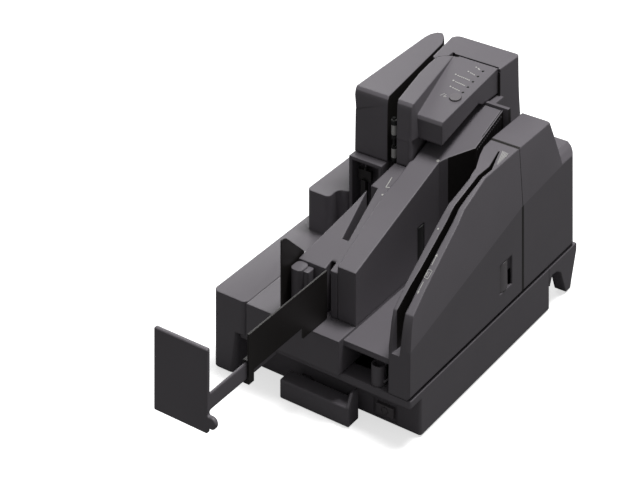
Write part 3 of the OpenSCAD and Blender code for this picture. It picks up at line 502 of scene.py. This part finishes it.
# %% Pin and plug
PIN_SHORTER = 4 * MM
PIN_MIDDLE = -60
pin = loose_copy("panel_hinge_pin")
for point in pin.data.vertices:
    if (point.co.x - CORNER.x) / MM > PIN_MIDDLE:
        point.co.x -= PIN_SHORTER
finish(pin, "panel_pin_short", body_of_node["panel_hinge_pin"], "pin_steel")
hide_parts("panel_hinge_pin")


RIM_SHARE = 0.25
DISH_SHARE = 0.12


def rod(radius, length, place, turn, points=32):
    """A cylinder in millimetres whose two ends are inset and pushed in a little."""
    bpy.ops.object.select_all(action="DESELECT")
    bpy.ops.mesh.primitive_cylinder_add(vertices=points, radius=radius * MM, depth=length * MM,
                                        location=place, rotation=turn)
    piece = bpy.context.object
    choose(piece, "FACE", [f.index for f in piece.data.polygons if len(f.vertices) > 4])
    bpy.ops.mesh.inset(thickness=radius * RIM_SHARE * MM, use_individual=True)
    dish = {"value": -radius * DISH_SHARE * MM}
    bpy.ops.mesh.extrude_region_shrink_fatten(TRANSFORM_OT_shrink_fatten=dish)
    bpy.ops.object.mode_set(mode="OBJECT")
    return piece


PLUG_R, PLUG_LONG = 2.0, 3.0
PLUG_PLACE = (-56.0, 200.6, 165.3)
SIDEWAYS = (0, math.pi / 2, 0)
plug = rod(PLUG_R, PLUG_LONG, at(*PLUG_PLACE), SIDEWAYS)
finish(plug, "hinge_plug", "panel", "casing", angle=30)

# %% [markdown]
# ## Black seams and slots
# Where two mouldings meet, the real gap swallows the light and reads as a black line. The faces that look
# into a seam, with the small bevels beside them, and the walls deep inside the card slot, at the hopper's end
# and in the exit slit are painted black: this is painted shade, standing in for the dark in these narrow
# places. The right side leans inwards above a shallow crease and looks paler there. The lamps alone hardly
# show it, so the leaning faces get a slightly paler paint. Faces are found by the place of their centre c and
# by their normal n.


# %% Paint the hidden faces
def repaint(node, test, paint=paints["path_black"]):
    """Gives the faces of a moulding that pass a test the black of the paper path, or another paint."""
    piece = mouldings[node]
    piece.data.materials.append(paint)
    painted = 0
    for face in piece.data.polygons:
        if test((face.center - CORNER) / MM, face.normal):
            face.material_index = len(piece.data.materials) - 1
            painted += 1
    print(node, painted, "faces painted")


SLOT_LOW, SLOT_HIGH = (-17.2, -6, 60), (-3.9, 136, 141)
PANEL_SEAM_LOW, PANEL_SEAM_HIGH = (-97, 170, 110), (-53, 205, 200)
JUST = 0.1
HOPPER_END_X, HOPPER_END_Y = -50, 128
SLIT_X = -88
PANEL_REAR_Y = 180
SIDE_X = -4
FACING = 0.45
# The black on these faces is painted shade in seams, the card slot, the hopper's end and the exit slit.
repaint("scanner_cover", lambda c, n: c.y > COVER_SEAM or (
    abs(n.z) < 0.5 and abs(n.x) > 0.1 and within(c, SLOT_LOW, SLOT_HIGH)))
repaint("right_rear_shell", lambda c, n: c.y < SHELL_SEAM + JUST)
repaint("centre_guide", lambda c, n: (
    n.x > 0.5 and abs(n.z) < 0.3 and c.x > HOPPER_END_X and c.y > HOPPER_END_Y))
repaint("left_cover", lambda c, n: n.x > 0.7)
repaint("panel_cover", lambda c, n: (
    (n.x < -0.6 and c.x < SLIT_X) or (n.y > FACING and c.y > PANEL_REAR_Y)))
repaint("rear_shell", lambda c, n: n.y < -FACING and within(c, PANEL_SEAM_LOW, PANEL_SEAM_HIGH))

# %% Paler paint above the crease
UPPER_PALER = 1.25
LEANS = 0.03
upper = moulded("casing_upper", [UPPER_PALER * part for part in CASING], edge=CASING_EDGE)
for node in ("scanner_cover", "right_rear_shell"):
    repaint(node, lambda c, n: n.x > 0.85 and n.z > LEANS and c.x > SIDE_X, upper)

# %% [markdown]
# ## Vents and screws at the rear
# The photograph doesn't show the rear, so it gets what such machines have there: rows of cooling slots and
# two sunk screws. The slots are real cuts. Cubes with rounded edges are joined to one cutter, which a
# boolean takes out of the moulding, and the faces inside the cuts are painted black, as painted shade for
# the dark inside each slot.


# %% Cutting tools
def cut(node, cutters):
    """Joins cutters to one tool and takes it out of a moulding."""
    pick(cutters[0])
    for cutter in cutters:
        cutter.select_set(True)
    bpy.ops.object.join()
    tool = bpy.context.object
    piece = pick(mouldings[node])
    before = len(piece.data.polygons)
    apply_step(piece, "BOOLEAN", operation="DIFFERENCE", solver="EXACT", object=tool)
    bpy.data.objects.remove(tool)
    print(node, "faces", before, "->", len(piece.data.polygons))


VENT_ROUND = 0.9 * MM


def slot_cutter(low, high):
    """A cube between two corners in millimetres, its edges rounded."""
    bpy.ops.object.select_all(action="DESELECT")
    middle = [(a + b) / 2 for a, b in zip(low, high)]
    bpy.ops.mesh.primitive_cube_add(size=1, location=at(*middle))
    cutter = bpy.context.object
    cutter.scale = [(b - a) * MM for a, b in zip(low, high)]
    bpy.ops.object.transform_apply(location=True, rotation=True, scale=True)
    apply_step(cutter, "BEVEL", width=VENT_ROUND, segments=3)
    return cutter


VENTS = 9
VENT_DEEP = 1.6
VENT_FLOOR = VENT_DEEP + 0.2
VENT_MOUTH = 0.15
BEYOND = 2


def vents(node, low, high, step, inside_low, inside_high):
    """Cuts a row of cooling slots, each a step further than the last, and paints their inside black as painted
    shade.
    """
    row = []
    for i in range(VENTS):
        corners = [[a + s * i for a, s in zip(corner, step)] for corner in (low, high)]
        row.append(slot_cutter(*corners))
    cut(node, row)
    repaint(node, lambda c, n: within(c, inside_low, inside_high))


# %% Vents and sunk screws
REAR = (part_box("rear_shell")[1].y - CORNER.y) / MM
LEFT = (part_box("left_shell")[0].x - CORNER.x) / MM
vents("rear_shell", (-101, REAR - VENT_DEEP, 96), (-98.8, REAR + BEYOND, 114), (5, 0, 0),
      (-102, REAR - VENT_FLOOR, 95), (-56, REAR - VENT_MOUTH, 115))
vents("left_shell", (LEFT - BEYOND, 6, 14), (LEFT + VENT_DEEP, 8.4, 30), (0, 6, 0),
      (LEFT + VENT_MOUTH, 5, 13), (LEFT + VENT_FLOOR, 58, 31))

SCREWS_X = (-106, -58)
SCREWS_Z = 84
WELL_R, WELL_LONG = 3.6, 6
HEAD_R, HEAD_LONG, HEAD_SUNK = 2.9, 1.6, 2.2
REARWARD = (math.pi / 2, 0, 0)
for i, x in enumerate(SCREWS_X):
    cut("rear_shell", [rod(WELL_R, WELL_LONG, at(x, REAR, SCREWS_Z), REARWARD, 24)])
    head = rod(HEAD_R, HEAD_LONG, at(x, REAR - HEAD_SUNK, SCREWS_Z), REARWARD, 24)
    finish(head, f"rear_screw_{i}", "base", "screw_steel", angle=30)

# %% [markdown]
# ## Dark ends of the exit rollers
# In the photograph only the middle of each exit roller is pale. Dark sleeves cover their ends and turn with
# them. A sleeve is a cylinder round the roller with dished ends, one for each dark stretch of the axis.

# %% Sleeves on the exit rollers
EXIT_X, EXIT_Y = -96.5, 114.6
SLEEVE_R = 2.42
DARK_ENDS = ((118.9, 121.5), (128.5, 130.1), (135.9, 139.1), (146.7, 150.1))
for i, (low, high) in enumerate(DARK_ENDS):
    sleeve = rod(SLEEVE_R, high - low, at(EXIT_X, EXIT_Y, (low + high) / 2), (0, 0, 0), 48)
    finish(sleeve, f"exit_sleeve_{i}", "exit_roller_set", "rubber", angle=30)

# %% [markdown]
# ## Printed marks
# The casing carries small pale marks beside the card slot, on the guide and on the panel. Print has no
# thickness to speak of, but it follows the surface. Each mark starts as a circle with as many points as
# the mark has corners, its points are moved to the corners, the flat shape is shrink-wrapped straight
# down onto the moulding, and it gets a thickness of a tenth of a millimetre, or a little more.


# %% A mark that follows its surface
ABOVE_ALL = 200
LIFT = 0.04 * MM


def printed(name, outlines, node, slot="pulley", thick=0.1):
    """Flat marks with outlines in millimetres, laid onto the moulding that stands for a node."""
    shapes = []
    for outline in outlines:
        bpy.ops.object.select_all(action="DESELECT")
        bpy.ops.mesh.primitive_circle_add(vertices=len(outline), fill_type="NGON", location=(0, 0, 0))
        shape = bpy.context.object
        for point, (x, y) in zip(shape.data.vertices, outline):
            point.co = at(x, y, ABOVE_ALL)
        shapes.append(shape)
    pick(shapes[0])
    for shape in shapes:
        shape.select_set(True)
    if len(shapes) > 1:
        bpy.ops.object.join()
    piece = bpy.context.object
    apply_step(piece, "SHRINKWRAP", target=mouldings[node], wrap_method="PROJECT", use_project_z=True,
               use_negative_direction=True, use_positive_direction=False, offset=LIFT)
    apply_step(piece, "SOLIDIFY", thickness=thick * MM, offset=1)
    finish(piece, name, body_of_node[node], slot)
    print(name, len(piece.data.polygons), "faces")
    return piece


def bar(x0, y0, x1, y1, wide):
    """The outline of a straight stroke between two points."""
    along = Vector((x1 - x0, y1 - y0)).normalized() * wide / 2
    side = Vector((-along.y, along.x))
    return [(x0 + side.x, y0 + side.y), (x0 - side.x, y0 - side.y),
            (x1 - side.x, y1 - side.y), (x1 + side.x, y1 + side.y)]


def disc(x, y, radius, points=16):
    """The outline of a dot."""
    return [(x + radius * math.cos(2 * math.pi * i / points), y + radius * math.sin(2 * math.pi * i / points))
            for i in range(points)]


STROKE = 0.55
HEAD_BACK, HEAD_WIDE = 2.0, 0.9


def arrow(x, tail, head):
    """A stroke along Y with a small arrow head."""
    neck = head + (HEAD_BACK if tail > head else -HEAD_BACK)
    return [bar(x, tail, x, neck, STROKE), [(x - HEAD_WIDE, neck), (x + HEAD_WIDE, neck), (x, head)]]


# %% [markdown]
# ## Marks beside the card slot and on the guide
# Two arrows with the outline of a card lie beside the slot, a dot further back, and a hook and two dots on
# the guide. Their strokes are less than a millimetre wide. All are built from bars and discs, so one function
# lays them.

# %% Marks on the scanner cover
CARD = ((-7.6, 16.6), (-4.4, 16.6), (-4.4, 22.4), (-7.6, 22.4))
CARD_FRAME, CARD_LINE = 0.4, 0.3
card_lines = [bar(*a, *b, CARD_FRAME) for a, b in zip(CARD, CARD[1:] + CARD[:1])]
card_lines += [bar(x, 18, x, 21, CARD_LINE) for x in (-6.9, -6.0)]
printed("card_arrows", arrow(-6.9, 25.5, 33.8) + arrow(-6.5, 14.0, 5.6), "scanner_cover")
printed("card_picture", card_lines, "scanner_cover")
printed("cover_dot", [disc(-16.0, 49.1, 0.7)], "scanner_cover")

# %% Marks on the guide
HOOK_TOP, HOOK_BEND, HOOK_END = (-86.7, 96.4), (-85.7, 86.0), (-82.7, 87.2)
HOOK_WIDE = 0.7
RIGHT_DOT, LEFT_DOT = (-59.3, 118.8, 1.2), (-83.9, 78.9, 0.9)
printed("guide_dots", [disc(*RIGHT_DOT), disc(*LEFT_DOT)], "centre_guide")
hook = [bar(*HOOK_TOP, *HOOK_BEND, HOOK_WIDE), bar(*HOOK_BEND, *HOOK_END, HOOK_WIDE)]
printed("guide_hook", hook, "centre_guide")

# %% [markdown]
# ## Pale patch at the slot's end
# At the rear end of the card slot a small ribbed patch looks paler than the casing, since light reaches the
# slot's floor there. It is laid on like the marks, only thicker, with a paler grey that is painted light, and
# five fine ribs lie on it.

# %% Pale patch at the slot's end
PATCH = ((-12.6, 136.2), (-6.4, 135.2), (-5.6, 126), (-5.3, 117.4), (-6.6, 117.0))
patch = printed("slot_patch", [PATCH], "scanner_cover", "roller_grey", thick=0.15)
# The patch's paler grey is painted light on the floor of the slot.
patch.data.materials[0] = moulded("patch_painted_light", (0.27, 0.26, 0.27))
ribs = [bar(-11.5 + i * 1.25, 135.2 - i * 0.2, -6.3 + i * 0.2, 119.5 + i * 2.4, 0.25) for i in range(5)]
printed("patch_ribs", ribs, "scanner_cover", thick=0.3)

# %% [markdown]
# ## Rows on the operation panel
# Each of the five lamps has a fine pale row at its left, made of dashes with a dot at its end, and a small
# angled sign stands by the button.

# %% Marks on the panel
ROW_X = -66.0
FIRST_ROW = 161.5
ROW_STEP = 7.7
ROW_START, ROW_RISE = 0.4, 1.2
ROW_LENGTHS = (7.5, 9.5, 12.0, 5.0, 2.2)
DASH, DASH_WIDE = 1.7, 0.95
INK_SHARE = 0.7
END_GAP, END_RISE, END_R = 2.0, 2.2, 0.75
SIGN = ((-71.5, 151.0, -73.6, 149.8, 0.5), (-73.6, 149.8, -73.0, 153.2, 0.5),
        (-74.8, 154.0, -76.8, 150.0, 0.4))
panel_marks = []
for i, length in enumerate(ROW_LENGTHS):
    y = FIRST_ROW + ROW_STEP * i
    dashes = round(length / DASH)
    for dash in range(dashes):
        near, far = [part / (dashes - 1 + INK_SHARE) for part in (dash, dash + INK_SHARE)]
        panel_marks.append(bar(ROW_X - near * length, y + ROW_START + ROW_RISE * near,
                               ROW_X - far * length, y + ROW_START + ROW_RISE * far, DASH_WIDE))
    panel_marks.append(disc(ROW_X - END_GAP - length, y + END_RISE, END_R, 10))
panel_marks += [bar(*stroke) for stroke in SIGN]
printed("panel_marks", panel_marks, "panel_cover")
